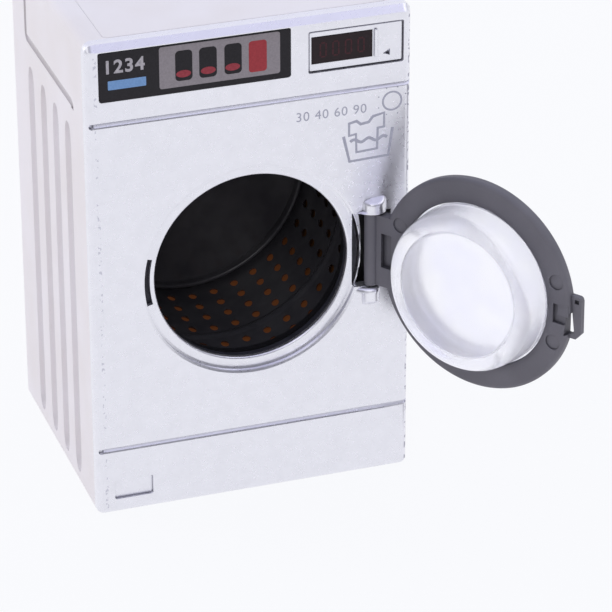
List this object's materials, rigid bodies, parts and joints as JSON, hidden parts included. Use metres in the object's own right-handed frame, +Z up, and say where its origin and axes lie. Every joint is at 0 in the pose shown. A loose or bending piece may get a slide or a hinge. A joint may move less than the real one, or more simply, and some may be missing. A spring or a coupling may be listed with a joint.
{
  "type": "toy washing machine",
  "caption": "Front-loading toy washing machine with a hinged round door, clear window cup and turning perforated drum.",
  "frame": {"origin": "middle of the flat underside of the cabinet", "axes": "+Z up, the front with the door faces -Y, +X to the right of someone who faces the front"},
  "size_m": [0.0804, 0.087, 0.0934],
  "materials": {
    "white_abs": "satin moulded ABS",
    "silver_plate": "satin silver plating on ABS",
    "label_film": "printed film",
    "display_film": "printed film",
    "dark_rubber": "matt",
    "steel": "plated steel",
    "amber_abs": "moulded ABS",
    "grey_abs": "matt moulded ABS",
    "black_abs": "semi-gloss moulded ABS",
    "clear_styrene": "clear polished"
  },
  "bodies": {
    "cabinet": {"cabinet_shell": "white_abs", "top_cover": "white_abs", "rear_cover": "white_abs", "front_panel": "silver_plate", "control_label": "label_film", "display_label": "display_film", "door_gasket": "dark_rubber", "hinge_pin": "steel", "tub": "amber_abs", "tub_screw_1": "steel", "tub_screw_2": "steel", "tub_screw_3": "steel", "tub_screw_4": "steel", "rear_screw_lower_left": "steel", "rear_screw_lower_right": "steel", "rear_screw_upper_left": "steel", "rear_screw_upper_right": "steel", "axle_bush": "grey_abs"},
    "drum": {"drum_shell": "black_abs", "drum_back": "black_abs", "drum_axle": "steel", "axle_retainer": "steel"},
    "door": {"door_frame": "grey_abs", "door_window": "clear_styrene"}
  },
  "joints": [
    {"name": "door_hinge", "type": "hinge", "parent": "cabinet", "child": "door", "pos_m": [0.0228, -0.02465, 0.0455], "axis": [0, 0, 1], "range_deg": [-124.8, 4]},
    {"name": "drum_spin", "type": "hinge", "parent": "cabinet", "child": "drum", "pos_m": [0.00025, 0, 0.0455], "axis": [0, 1, 0], "continuous": true}
  ]
}
